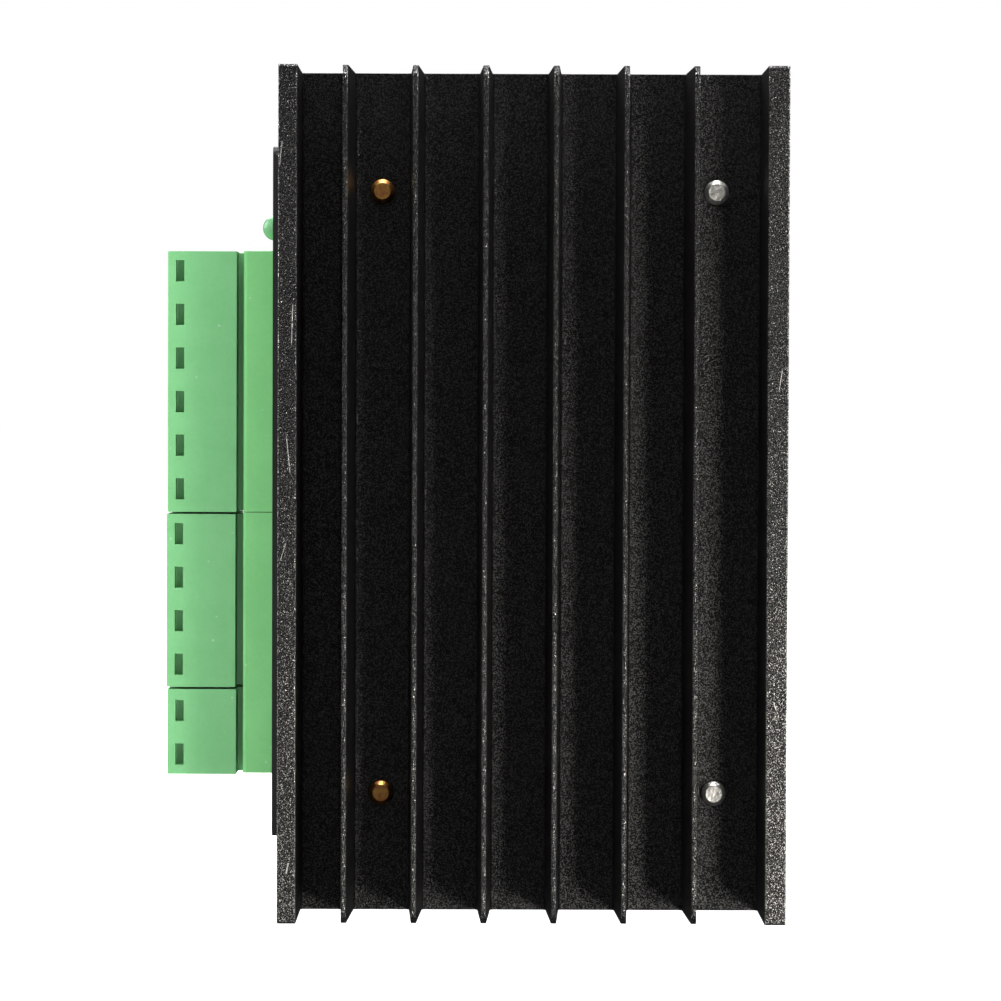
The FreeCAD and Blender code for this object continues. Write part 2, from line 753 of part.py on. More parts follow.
nose_margin = S.HeaderWall + S.NoseClearance
standoffs_x = {"supply": 0, "motor": S.MotorPlugStandoff, "signal": 0}
end_shifts = {
    "supply": (-S.SupplyPlugDrop, -S.PlugJointDrop),
    "motor": (-S.PlugJointDrop, 0),
    "signal": (0, S.SignalPlugRise),
}
slot_offsets = {
    "supply": S.SupplySlotOffset,
    "motor": S.MotorSlotOffset,
    "signal": S.SignalSlotOffset,
}
header_poles = int(S.HeaderPoles.value)
for plug, start_pole, poles in PLUGS:
    face = S.PlugFaceX - standoffs_x[plug]
    first_low = S.TerminalLowerZ + start_pole * S.TerminalPitch
    first_z = first_low + S.TerminalPitch / 2
    low = first_low + end_shifts[plug][0]
    high = first_low + poles * S.TerminalPitch + end_shifts[plug][1] - S.PlugGap
    at_header_end = start_pole % header_poles == 0
    to_header_end = (start_pole + poles) % header_poles == 0
    nose_low = first_low + nose_margin if at_header_end else low + S.PlugGap
    last_high = first_low + poles * S.TerminalPitch
    nose_high = last_high - nose_margin - S.HeaderGap if to_header_end else high
    solids, tools = plug_housing(plug, face, low, high, poles, first_z, nose_low, nose_high)
    tools += probe_slots(plug, face, low, poles, first_z, slot_offsets[plug])
    node("plug_" + plug, cut(plug + "_plug", fuse(plug + "_solid", solids), tools))
    contacts = []
    for pole in range(poles):
        number = start_pole + pole + 1
        z = first_z + pole * S.TerminalPitch
        contacts.append(contact("%s_contact_%d" % (plug, pole + 1), face, z))
        node("terminal_screw_%02d" % number, clamp_screw("clamp_screw_%d" % number, face, z))
        node("clamp_cage_%02d" % number, clamp_cage("rising_cage_%d" % number, face, z))
    node("contacts_" + plug, group(plug + "_contacts", contacts))

# ---------------------------------------------------------------------------------------------
# Indicator lamp beside the terminals
# ---------------------------------------------------------------------------------------------

dome_x = S.LampTipX + S.LampRadius
lamp_back = dome_x + S.LampBodyLength
dome = doc.addObject("Part::Sphere", "lamp_dome")
bind(dome, "Radius", S.LampRadius)
place(dome, (dome_x, lamp_y, S.LampZ))
barrel = rod("lamp_barrel", S.LampRadius, S.LampBodyLength, (dome_x, lamp_y, S.LampZ), "+x")
flange = rod("lamp_flange", S.LampFlangeRadius, S.LampFlangeLength, (lamp_back, lamp_y, S.LampZ), "-x")
node("power_led", fuse("lamp", [dome, barrel, flange]))

lead_half = S.LampLeadSize / 2
lead_x = lamp_back + S.LampLeadReach
leads = []
for side, offset in (("lower", -S.LampLeadGap / 2), ("upper", S.LampLeadGap / 2)):
    z = S.LampZ + offset
    across = box("lead_across_" + side, (lamp_back, lead_x + lead_half),
                 (lamp_y - lead_half, lamp_y + lead_half), (z - lead_half, z + lead_half))
    down = box("lead_down_" + side, (lead_x - lead_half, lead_x + lead_half),
               (board_under - S.PinTail, lamp_y), (z - lead_half, z + lead_half))
    leads.append(fuse("lead_" + side, [across, down]))
    board_hole("lead_hole_" + side, S.LampLeadSize * 0.8, lead_x, z)
node("led_leads", group("lamp_leads", leads))

# ---------------------------------------------------------------------------------------------
# Setting switches on the other long side
# ---------------------------------------------------------------------------------------------

switch_back = S.SwitchFaceX - S.SwitchDepth
switch_half = S.SwitchCount * S.SwitchPitch / 2 + S.SwitchEndMargin / 2
switch_top = board_top + S.SwitchHeight
slot_y = (board_top + (S.SwitchHeight - S.SliderSlotHeight) / 2,
          board_top + (S.SwitchHeight + S.SliderSlotHeight) / 2)
slot_floor = S.SwitchFaceX - S.SliderSlotDepth
first_switch_z = middle_z - (S.SwitchCount - 1) * S.SwitchPitch / 2
slider_rest = slot_y[0] + (S.SliderSlotHeight - S.SliderHeight - S.SliderTravel) / 2
switch_block = box("switch_block", (switch_back, S.SwitchFaceX), (board_top, switch_top),
                   (middle_z - switch_half, middle_z + switch_half))
slots = []
switch_pins = []
pin_rows = (switch_back + 1.2, switch_back + 6.2)
for order in range(int(S.SwitchCount.value)):
    z = first_switch_z + order * S.SwitchPitch
    number = order + 1
    slots.append(box("slider_slot_%d" % number, (slot_floor, S.SwitchFaceX + OVERCUT), slot_y,
                     (z - S.SliderSlotWidth / 2, z + S.SliderSlotWidth / 2)))
    slider = box("slider_%d" % number, (slot_floor + 0.1, S.SwitchFaceX + S.SliderProud),
                 (slider_rest, slider_rest + S.SliderHeight),
                 (z - S.SliderWidth / 2, z + S.SliderWidth / 2))
    node("dip_slider_%d" % number, slider)
    for row, pin_x in enumerate(pin_rows, start=1):
        tag = "%d_%d" % (number, row)
        half = S.SwitchPinSize / 2
        switch_pins.append(box("switch_pin_" + tag, (pin_x - half, pin_x + half),
                               (board_under - S.SwitchPinTail, board_top), (z - half, z + half)))
        board_hole("switch_hole_" + tag, S.SwitchPinSize * 0.8, pin_x, z)
node("dip_switch_body", cut("switch_body", switch_block, slots))
node("dip_switch_pins", group("switch_pins", switch_pins))

# ---------------------------------------------------------------------------------------------
# Parts on the board
# ---------------------------------------------------------------------------------------------


def on_board(name, x, z, length, width, height):
    """A block standing on the board: length runs along Z and width along X."""
    return box(name, (x - width / 2, x + width / 2), (board_top, board_top + height),
               (z - length / 2, z + length / 2))


CAPACITORS = ((-3.0, 26.0), (9.5, 26.0))
cans = []
sleeves = []
for number, (x, z) in enumerate(CAPACITORS, start=1):
    start = (as_size(x), board_top, as_size(z))
    can_radius = S.CapacitorRadius - S.CapacitorSleeve
    cans.append(rod("can_%d" % number, can_radius, S.CapacitorHeight, start, "+y"))
    wrap = rod("wrap_%d" % number, S.CapacitorRadius, S.CapacitorHeight - 0.4, start, "+y")
    core = rod("core_%d" % number, can_radius + 0.02, S.CapacitorHeight, start, "+y")
    sleeves.append(cut("sleeve_%d" % number, wrap, [core]))
node("capacitor_cans", group("cans", cans))
node("capacitor_sleeves", group("sleeves", sleeves))

OPTOCOUPLER_ZS = (56.0, 63.5, 71.0)
node("optocouplers", group("optocoupler_row", [
    on_board("optocoupler_%d" % number, as_size(-13.0), as_size(z), S.OptocouplerWidth,
             S.OptocouplerLength, S.OptocouplerHeight)
    for number, z in enumerate(OPTOCOUPLER_ZS, start=1)]))

SENSE_XS = (-2.0, 4.0)
node("sense_resistors", group("sense_pair", [
    on_board("sense_%d" % number, as_size(x), S.SenseZ, S.SenseLength, S.SenseWidth, S.SenseHeight)
    for number, x in enumerate(SENSE_XS, start=1)]))

regulator_body = on_board("regulator_case", S.RegulatorX, S.RegulatorZ, S.RegulatorLength,
                          S.RegulatorWidth, S.RegulatorHeight)
regulator_tab = on_board("regulator_tab", S.RegulatorX, S.RegulatorZ + S.RegulatorTabRise,
                         S.RegulatorTabLength, S.RegulatorTabWidth, S.RegulatorTabHeight)
node("regulator", fuse("regulator_part", [regulator_body, regulator_tab]))
node("diode", on_board("diode_case", S.DiodeX, S.DiodeZ, S.DiodeLength, S.DiodeWidth,
                       S.RegulatorHeight))

half_chip = S.ChipSize / 2
chip_x = (-half_chip, half_chip)
chip_z = (middle_z - half_chip, middle_z + half_chip)
chip_face = board_under - S.ChipHeight
node("driver_ic", box("driver_chip", chip_x, (chip_face, board_under), chip_z))
node("thermal_pad", box("gap_pad", chip_x, (base_front, chip_face), chip_z))

board_blank = box("board_blank", (-half_board, half_board), (board_under, board_top),
                  (board_low, board_high))
node("pcb", cut("board", board_blank, lead_holes))

# ---------------------------------------------------------------------------------------------
# Cover: one folded sheet, its label and its four countersunk screws
# ---------------------------------------------------------------------------------------------

outer = box("cover_outer", (S.CoverLeftX, S.CoverRightX), (S.CoverSkirtY, S.CoverFrontY),
            (cover_low, cover_high))


def bend_edge(edge):
    """True for the four edges around the cover's front face."""
    bounds = edge.BoundBox
    return abs(bounds.YMin - S.CoverFrontY.value) < 0.01 and bounds.YLength < 0.01


def skirt_corner(edge):
    """True for the short edges at the lower corners of the two long walls."""
    bounds = edge.BoundBox
    return 0.5 < bounds.XLength < 1.5 and bounds.YMax < S.CoverSkirtY.value + 0.01


folded = rounded("cover_folded", outer, S.CoverBendRadius, bend_edge)
inner_x = (cover_left_inner, cover_right_inner)
hollow = box("cover_hollow", inner_x, (S.CoverSkirtY - OVERCUT, S.CoverFrontY - S.CoverWall),
             (cover_low + S.CoverWall, cover_high - S.CoverWall))
seat = box("cover_seat", inner_x, (S.CoverSkirtY - OVERCUT, base_front + S.HoleClearance),
           (cover_low - OVERCUT, cover_high + OVERCUT))
cover_tools = [hollow, seat]
for side, x in (("left", (cover_left_inner, cover_left_inner + S.CoverSlit)),
                ("right", (cover_right_inner - S.CoverSlit, cover_right_inner))):
    for end, z in (("lower", (cover_low - OVERCUT, cover_low + S.CoverWall)),
                   ("upper", (cover_high - S.CoverWall, cover_high + OVERCUT))):
        cover_tools.append(box("corner_slit_%s_%s" % (side, end), x,
                               (S.CoverSkirtY, S.CoverFrontY - 1.5 * S.CoverWall), z))
left_wall_x = (S.CoverLeftX - OVERCUT, cover_left_inner + OVERCUT)
right_wall_x = (cover_right_inner - OVERCUT, S.CoverRightX + OVERCUT)
gap = S.WindowClearance
cover_tools.append(box("header_window", left_wall_x, (board_top - gap, header_top + gap),
                       (S.TerminalLowerZ - gap, terminal_top_z + gap)))
cover_tools.append(box("switch_window", right_wall_x, (board_top - gap, switch_top + gap),
                       (middle_z - switch_half - gap, middle_z + switch_half + gap)))
cover_tools.append(rod("lamp_hole", S.LampRadius + 0.5 * gap, 2 * S.CoverWall,
                       (S.CoverLeftX - OVERCUT, lamp_y, S.LampZ), "+x"))

cover_screws = []
sink = S.CoverWall * 0.9
CROSS_SHARE = 0.7
for side, wall, outward, way in (("left", S.CoverLeftX, -1, "+x"), ("right", S.CoverRightX, 1, "-x")):
    for end, z in zip(("lower", "upper"), cover_screw_zs):
        tag = "%s_%s" % (side, end)
        face = (wall, S.CoverScrewY, z)
        tool_start = (wall + outward * S.HoleClearance, S.CoverScrewY, z)
        cover_tools.append(cone("sink_" + tag, S.CoverScrewHeadRadius + 2 * S.HoleClearance,
                                S.CoverScrewRadius + S.HoleClearance, sink + S.HoleClearance,
                                tool_start, way))
        cover_tools.append(rod("sink_hole_" + tag, S.CoverScrewRadius + S.HoleClearance,
                               2 * S.CoverWall, tool_start, way))
        head = cone("cover_screw_head_" + tag, S.CoverScrewHeadRadius, S.CoverScrewRadius, sink, face, way)
        shank = rod("cover_screw_shank_" + tag, S.CoverScrewRadius, S.CoverScrewLength, face, way)
        blank = fuse("cover_screw_blank_" + tag, [head, shank])
        ends = (wall + outward * OVERCUT, wall - outward * CROSS_SHARE * sink)
        low_x, high_x = sorted(ends, key=lambda size: size.value)
        half_slot = S.CrossWidth / 3
        half_long = S.CrossLength / 3
        y = S.CoverScrewY
        wide = box("cover_cross_wide_" + tag, (low_x, high_x), (y - half_slot, y + half_slot),
                   (z - half_long, z + half_long))
        tall = box("cover_cross_tall_" + tag, (low_x, high_x), (y - half_long, y + half_long),
                   (z - half_slot, z + half_slot))
        cover_screws.append(cut("cover_screw_" + tag, blank, [wide, tall]))
cover_cut = cut("cover_cut", folded, cover_tools)
node("cover", rounded("cover_rounded", cover_cut, S.SkirtCornerRadius, skirt_corner))
node("cover_screws", group("cover_screw_set", cover_screws))
node("label_plate", box("label_sheet", (-S.LabelWidth / 2, S.LabelWidth / 2),
                        (S.CoverFrontY, S.CoverFrontY + S.LabelThickness),
                        (middle_z - S.LabelLength / 2, middle_z + S.LabelLength / 2)))

# ---------------------------------------------------------------------------------------------
# Checks and export
# ---------------------------------------------------------------------------------------------

doc.recompute()
for item in doc.Objects:
    if "Invalid" in item.State or "Error" in item.State:
        raise RuntimeError("%s did not rebuild: %s" % (item.Name, item.State))
os.makedirs("parts", exist_ok=True)
for item in NODES:
    shape = item.Shape
    if shape.isNull() or not shape.isValid() or not shape.Solids:
        raise RuntimeError("%s has no valid solid" % item.Label)
for item in NODES:
    item.Shape.exportStep("parts/%s.step" % item.Label)
    print("%-22s %2d solids %10.2f mm3" % (item.Label, len(item.Shape.Solids), item.Shape.Volume))
print("%d sub-parts" % len(NODES))
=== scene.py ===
# %% [markdown]
# # A stepper driver module, seen from its finned back
#
# The module is a block of electronics between two pieces of aluminium: an extruded heatsink at the
# back and a folded sheet cover at the front. Green plugs stand along its left side. The CAD model
# already holds every piece at its real size, so this lesson only gives the pieces softer edges,
# finishes, print and wear, and sets them on a pale floor in studio light.

import json
import math

import bmesh
import bpy
from mathutils import Matrix, Vector


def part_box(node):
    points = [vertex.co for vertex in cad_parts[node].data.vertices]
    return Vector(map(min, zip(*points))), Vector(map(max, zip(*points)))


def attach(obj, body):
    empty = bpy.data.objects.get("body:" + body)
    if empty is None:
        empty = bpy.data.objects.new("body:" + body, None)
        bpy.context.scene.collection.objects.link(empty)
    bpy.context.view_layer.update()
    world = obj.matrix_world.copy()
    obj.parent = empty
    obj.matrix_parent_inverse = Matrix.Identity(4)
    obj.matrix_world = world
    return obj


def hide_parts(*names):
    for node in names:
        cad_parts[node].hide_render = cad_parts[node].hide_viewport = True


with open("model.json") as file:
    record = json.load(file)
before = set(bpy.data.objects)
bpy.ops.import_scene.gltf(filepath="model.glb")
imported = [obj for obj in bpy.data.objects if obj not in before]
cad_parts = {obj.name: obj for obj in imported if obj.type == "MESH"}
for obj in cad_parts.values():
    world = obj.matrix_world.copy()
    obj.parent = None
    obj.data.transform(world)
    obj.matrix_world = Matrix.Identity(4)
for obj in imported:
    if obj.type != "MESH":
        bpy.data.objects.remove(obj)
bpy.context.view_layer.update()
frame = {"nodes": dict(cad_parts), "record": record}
MM = 0.001
record = frame["record"]
body_of_node = {node: body for body, nodes in record["behaviour"]["bodies"].items() for node in nodes}
slot_of_node = {part["node"]: part["material_slot"] for part in record["subparts"]}

# %% [markdown]
# ## The camera
#
# The view is nearly square on to the back, with a long lens a little under half a metre away. A long
# lens keeps the fins almost parallel, and the eye stands slightly left of the middle, so the left
# faces of the fins on the right side show. Camera angles in Blender are counted from looking
# straight down, so a level camera has an X angle of 90 degrees.

# %% Camera
camera_data = bpy.data.cameras.new("studio_camera")
camera_data.sensor_width = 36.0
camera_data.lens = 143.63
camera_data.clip_start = 0.01
camera = bpy.data.objects.new("studio_camera", camera_data)
camera.location = Vector((-4.99, -445.4, 59.6)) * MM
camera.rotation_euler = (math.pi / 2 - 0.0272, -0.0037, -0.0030)
bpy.context.scene.collection.objects.link(camera)
bpy.context.scene.camera = camera
bpy.context.scene.view_settings.view_transform = "Standard"

# %% [markdown]
# ## The studio
#
# A product table is a white floor, a large soft lamp overhead and one smaller lamp that gives the
# shape. The smaller lamp stands to the right of the camera and a little below the table's top: its
# light slips past each fin and leaves a bright strip on the foot of the channel, and an arch at the
# channel's lower end. The floor casts no shadow, like a table of clear white plastic, so that this
# light comes through. A black object needs dark things to reflect, or it turns grey, so the floor and
# the overhead lamp are kept out of mirror reflections, as a studio does with a black card. Two
# small lamps then give back only gloss: one above for a glint on the screws, and one dim card beside
# the camera for their flat ends. No lamp is seen by the camera itself.

# %% Floor


def studio_floor():
    """A pale floor that goes far enough to reach the horizon."""
    size = 6.0
    mesh = bpy.data.meshes.new("studio_floor")
    corners = [(-size, -size, 0), (size, -size, 0), (size, size, 0), (-size, size, 0)]
    mesh.from_pydata(corners, [], [(0, 1, 2, 3)])
    floor = bpy.data.objects.new("studio_floor", mesh)
    bpy.context.scene.collection.objects.link(floor)
    floor.visible_glossy = False
    floor.visible_shadow = False
    return floor


floor = studio_floor()

# %% Lamps


def soft_lamp(name, place, target, size, power):
    """A square lamp that looks from a place to a target; sizes in millimetres, power in watts."""
    data = bpy.data.lights.new(name, "AREA")
    data.shape = "RECTANGLE"
    data.size = size[0] * MM
    data.size_y = size[1] * MM
    data.energy = power
    lamp = bpy.data.objects.new(name, data)
    lamp.location = Vector(place) * MM
    aim = Vector(target) * MM - lamp.location
    lamp.rotation_euler = aim.to_track_quat("-Z", "Y").to_euler()
    lamp.visible_camera = False
    bpy.context.scene.collection.objects.link(lamp)
    return lamp


shape_lamp = soft_lamp("shape_lamp", (143, -291, -45), (0, 0, 40), (50, 90), 0.54)
shape_lamp.data.color = (1.0, 0.96, 0.9)
roof_lamp = soft_lamp("roof_lamp", (0, -150, 620), (0, 0, 40), (700, 700), 9.7)
roof_lamp.visible_glossy = False
glint_lamp = soft_lamp("glint_lamp", (0, -50, 350), (0, 10, 50), (200, 110), 1.2)
glint_lamp.visible_diffuse = False
card_lamp = soft_lamp("card_lamp", (-20, -560, 62), (0, 0, 50), (200, 200), 0.05)
card_lamp.visible_diffuse = False
soft_lamp("front_roof_lamp", (-60, 420, 420), (0, 20, 40), (400, 400), 2.2)
soft_lamp("right_lamp", (520, 180, 230), (0, 20, 45), (350, 350), 1.8)
soft_lamp("left_lamp", (-520, 220, 230), (0, 20, 45), (350, 350), 1.1)

# %% Sky
world = bpy.data.worlds.new("studio_sky")
bpy.context.scene.world = world
world.use_nodes = True
sky = world.node_tree
sky.nodes.clear()
WHITE = (1.0, 1.0, 1.0, 1.0)
SKY_LIGHT = 0.02
seen = sky.nodes.new("ShaderNodeBackground")
seen.inputs["Color"].default_value = WHITE
lighting = sky.nodes.new("ShaderNodeBackground")
lighting.inputs["Color"].default_value = WHITE
lighting.inputs["Strength"].default_value = SKY_LIGHT
path = sky.nodes.new("ShaderNodeLightPath")
choice = sky.nodes.new("ShaderNodeMixShader")
sky_out = sky.nodes.new("ShaderNodeOutputWorld")
sky.links.new(path.outputs["Is Camera Ray"], choice.inputs[0])
sky.links.new(lighting.outputs[0], choice.inputs[1])
sky.links.new(seen.outputs[0], choice.inputs[2])
sky.links.new(choice.outputs[0], sky_out.inputs[0])

# %% [markdown]
# ## Writing materials as sums
#
# A finish is a recipe: a little noise for grain, a mask for wear, a slow drift of colour. In
# Blender each step is a node, and a long recipe becomes a web that is hard to read. The small class
# below wraps one socket, so that `1 - mask` or `grain * 0.3` adds the right Math node by itself.

# %% Shader sums


class Shade:
    """One output in a material, or the bare material when it has no socket yet."""

    def __init__(self, tree, socket=None):
        self.tree = tree
        self.socket = socket

    def node(self, kind, settings, sockets, output=0):
        """Adds a node: its settings first, then the values or links of its sockets."""
        made = self.tree.nodes.new(kind)
        for name, value in settings.items():
            setattr(made, name, value)
        for name, value in sockets.items():
            if isinstance(value, Shade):
                self.tree.links.new(value.socket, made.inputs[name])
            else:
                made.inputs[name].default_value = value
        return Shade(self.tree, made.outputs[output] if made.outputs else None)

    def math(self, operation, first, second=0.0):
        """One Math node on two numbers or shades."""
        return self.node("ShaderNodeMath", {"operation": operation}, {0: first, 1: second})

    def __add__(self, other):
        return self.math("ADD", self, other)

    __radd__ = __add__

    def __sub__(self, other):
        return self.math("SUBTRACT", self, other)

    def __rsub__(self, other):
        return self.math("SUBTRACT", other, self)

    def __mul__(self, other):
        return self.math("MULTIPLY", self, other)

    __rmul__ = __mul__

    def __abs__(self):
        return self.math("ABSOLUTE", self)

    def larger(self, other):
        return self.math("MAXIMUM", self, other)

    def between(self, low, high):
        """0 below low, 1 above high, and a smooth step from one to the other."""
        return self.node("ShaderNodeMapRange", {"interpolation_type": "SMOOTHSTEP"},
                         {"Value": self, "From Min": low, "From Max": high})

    def near(self, centre, reach):
        """1 at the centre value, falling to 0 at a distance."""
        return 1 - abs(self - centre).between(0.0, reach)


def grey(value):
    return (value, value, value, 1.0)


def paint(red, green, blue):
    return (red, green, blue, 1.0)


# %% Patterns that many finishes share


def place_of(start):
    """Where a point is in the model, in metres; it moves with the piece."""
    return start.node("ShaderNodeTexCoord", {}, {}, output="Object")


def axes_of(start, vector):
    """The three parts of a vector."""
    split = start.tree.nodes.new("ShaderNodeSeparateXYZ")
    start.tree.links.new(vector.socket, split.inputs[0])
    return [Shade(start.tree, split.outputs[axis]) for axis in range(3)]


def grain(start, size_mm, detail=2.0, stretch=(1.0, 1.0, 1.0), seed=0.0):
    """Soft noise from 0 to 1 whose blobs are about size_mm wide."""
    spread = start.node("ShaderNodeVectorMath", {"operation": "MULTIPLY"}, {0: place_of(start), 1: stretch})
    return start.node("ShaderNodeTexNoise", {"noise_dimensions": "4D"},
                      {"Vector": spread, "W": seed, "Scale": 1 / (size_mm * MM), "Detail": detail})


def dimples(start, size_mm):
    """The height of a surface beaten all over by small balls, from 0 at a dimple's middle."""
    reach = start.node("ShaderNodeTexVoronoi", {"feature": "F1"},
                       {"Vector": place_of(start), "Scale": 1 / (size_mm * MM)}, output="Distance")
    return reach * reach


def specks(start, size_mm, share, seed=0.0):
    """Small bright dots: share is the part of the surface that they cover."""
    cells = start.node("ShaderNodeTexVoronoi", {"voronoi_dimensions": "4D", "feature": "F1"},
                       {"Vector": place_of(start), "W": seed, "Scale": 1 / (size_mm * MM)}, output="Color")
    chance = axes_of(start, cells)[0]
    return chance.between(1 - share, 1 - 0.5 * share)


def blend_paint(start, mask, first, second):
    """Goes from one colour to another with a mask."""
    return start.node("ShaderNodeMix", {"data_type": "RGBA"}, {0: mask, 6: first, 7: second}, output=2)


def bumps(start, height, depth_mm, strength=1.0):
    """A bump from a height that runs from 0 to 1."""
    return start.node("ShaderNodeBump", {},
                      {"Height": height, "Strength": strength, "Distance": depth_mm * MM})


def finish(name, recipe):
    """Makes a material from a recipe that gives the Principled shader's sockets."""
    material = bpy.data.materials.new(name)
    material.use_nodes = True
    material.node_tree.nodes.clear()
    start = Shade(material.node_tree)
    surface = start.node("ShaderNodeBsdfPrincipled", {}, recipe(start))
    start.node("ShaderNodeOutputMaterial", {}, {"Surface": surface})
    return material


# %% [markdown]
# ## The floor's finish
#
# A studio sweep is matt and nearly white. A little light of its own keeps it white right up to the
# horizon, as an evenly lit table is, and leaves the soft contact shadow under the module.

# %% Floor finish


def sweep_recipe(start):
    drift = grain(start, 400)
    return {
        "Base Color": blend_paint(start, drift, grey(0.86), grey(0.9)),
        "Roughness": 0.9,
        "Emission Color": grey(1.0),
        "Emission Strength": 0.98,
    }


floor.data.materials.append(finish("studio_sweep", sweep_recipe))

# %% [markdown]
# ## Blasted black aluminium
#
# The extrusion is blasted with fine beads and then anodised black. The beads leave overlapping
# dimples, and a cell pattern whose height grows with the square of the distance from each cell's
# middle has that shape. Some facets end up smoother than others, so they are made faintly metallic:
# they mirror the lamp where it reaches them, and stay nearly black in shade. The edges at the tips of
# the fins and flanges rub against things, so the black wears through to bare metal there, more
# towards the lower end, and the flanges carry a few scratches.

# %% Heatsink finish
FIN_FIRST = -21.05
FIN_PITCH = 7.85
FIN_EDGE = (0.23, 0.09)
FLANGE_INNER = (24.0, 24.4)
TIP_DEPTH = (0.16, 0.4)
WEAR_HEIGHTS = (12.0, 64.0)
WEAR_STEP = (0.655, 0.71)
LOW_END_WEAR = 0.055
EDGE_WEAR = 0.13
FLANGE_EDGES = ((-28.44, 0.10), (-26.46, 0.16), (26.18, 0.14), (28.42, 0.16))
SCRATCHES = (
    (-28.2, 86.0, 3.0, 0.07, 0.1),
    (-26.9, 67.0, 5.0, 0.07, 0.03),
    (-27.3, 52.5, 4.5, 0.06, -0.1),
    (-27.9, 41.5, 2.5, 0.05, 0.3),
    (-27.3, 6.3, 1.6, 0.12, 0.2),
    (27.2, 24.4, 1.5, 0.07, -0.4),
    (27.6, 61.0, 2.8, 0.05, 0.15),
)


def in_mm(start):
    """The three parts of a point's place, in millimetres."""
    return [part * (1 / MM) for part in axes_of(start, place_of(start))]


def scratch(px, pz, x, z, length, width, lean):
    """A thin mark on the tips' plane, round one point, leaning a little from upright."""
    along = abs(pz - z)
    across = abs(px - x - (pz - z) * lean)
    return (1 - across.between(width * 0.4, width)) * (1 - along.between(length * 0.35, length * 0.5))


def tip_wear(start, px, py, pz):
    """Where the black has worn through: edges of the flanges, tips of the fins, and scratches."""
    on_tips = 1 - py.between(*TIP_DEPTH)
    edges = px.near(*FLANGE_EDGES[0])
    for centre, reach in FLANGE_EDGES[1:]:
        edges = edges.larger(px.near(centre, reach))
    from_fin = px.math("PINGPONG", px - FIN_FIRST, FIN_PITCH / 2)
    inside = 1 - abs(px).between(*FLANGE_INNER)
    fins = from_fin.near(*FIN_EDGE) * inside
    low_end = 1 - pz.between(*WEAR_HEIGHTS)
    rubbed = grain(start, 0.12, detail=1.0, seed=8.0)
    worn = (rubbed + low_end * LOW_END_WEAR + edges.larger(fins) * EDGE_WEAR).between(*WEAR_STEP)
    marks = scratch(px, pz, *SCRATCHES[0])
    for mark in SCRATCHES[1:]:
        marks = marks.larger(scratch(px, pz, *mark))
    broken = grain(start, 0.25, seed=11.0).between(0.35, 0.5)
    return worn.larger(marks * broken) * on_tips


def blasted_black_recipe(start):
    px, py, pz = in_mm(start)
    bare = tip_wear(start, px, py, pz)
    facets = grain(start, 0.15, detail=1.0, seed=3.0).between(0.5, 0.6)
    anodised = blend_paint(start, facets, grey(0.003), grey(0.095))
    return {
        "Base Color": blend_paint(start, bare, anodised, paint(0.85, 0.83, 0.8)),
        "Metallic": facets.larger(bare),
        "Roughness": 0.28 + bare * 0.03,
        "Specular IOR Level": 0.1,
        "Normal": bumps(start, dimples(start, 0.15), 0.04, 1.0),
    }


blasted_black = finish("blasted_black_aluminium", blasted_black_recipe)

# %% [markdown]
# ## Painted cover, print film and board
#
# The cover has a powder coat: a fine orange peel rather than sharp grain. The film on its front is
# smooth polyester. The board is green lacquer over glass cloth, whose weave shows faintly.

# %% Cover, film and board finishes


def powder_coat_recipe(start):
    peel = grain(start, 0.35, detail=3.0)
    drift = grain(start, 14.0, detail=2.0, seed=2.0)
    dust = specks(start, 0.22, 0.002, seed=4.0)
    colour = blend_paint(start, drift, grey(0.012), grey(0.02))
    return {
        "Base Color": blend_paint(start, dust, colour, grey(0.09)),
        "Roughness": 0.42 + peel * 0.14,
        "Normal": bumps(start, peel, 0.06, 0.55),
    }


def film_recipe(start):
    drift = grain(start, 9.0, detail=3.0)
    return {
        "Base Color": blend_paint(start, drift, grey(0.5), grey(0.55)),
        "Roughness": 0.32 + grain(start, 0.6, seed=1.0) * 0.1,
        "Normal": bumps(start, grain(start, 0.5, detail=2.0, seed=6.0), 0.01, 0.3),
    }


def board_recipe(start):
    along = grain(start, 0.5, stretch=(1.0, 1.0, 0.15))
    across = grain(start, 0.5, stretch=(0.15, 1.0, 1.0))
    weave = along * 0.5 + across * 0.5
    return {
        "Base Color": blend_paint(start, weave, paint(0.01, 0.09, 0.03), paint(0.02, 0.16, 0.06)),
        "Roughness": 0.3 + weave * 0.1,
        "Coat Weight": 0.4,
        "Normal": bumps(start, weave, 0.02, 0.4),
    }


powder_coat = finish("powder_coated_cover", powder_coat_recipe)
film = finish("printed_film", film_recipe)
board_lacquer = finish("board_lacquer", board_recipe)

# %% [markdown]
# ## Green nylon
#
# Terminal plugs are moulded in nylon, which is satin, slightly cloudy and never perfectly even:
# flow in the mould leaves slow light and dark patches, and the tool's spark-eroded texture leaves a
# fine matt grain. The headers come from another mould and are a little yellower.

# %% Moulded finishes


def moulded(name, dark, light, texture_mm=0.12, rough=0.42, dust_share=0.0012):
    """A moulded plastic: cloudy colour, fine matt grain and a little dust."""

    def recipe(start):
        cloud = grain(start, 5.0, detail=3.0) * 0.7 + grain(start, 0.4, seed=7.0) * 0.3
        fine = grain(start, texture_mm, detail=2.0, seed=3.0)
        dust = specks(start, 0.2, dust_share, seed=9.0)
        colour = blend_paint(start, cloud.between(0.3, 0.7), dark, light)
        return {
            "Base Color": blend_paint(start, dust * 0.3, colour, grey(0.6)),
            "Roughness": rough + fine * 0.12,
            "Subsurface Weight": 0.06,
            "Subsurface Radius": (0.0004, 0.0009, 0.0004),
            "Subsurface Scale": 1.0,
            "Normal": bumps(start, fine, 0.02, 0.35),
        }

    return finish(name, recipe)


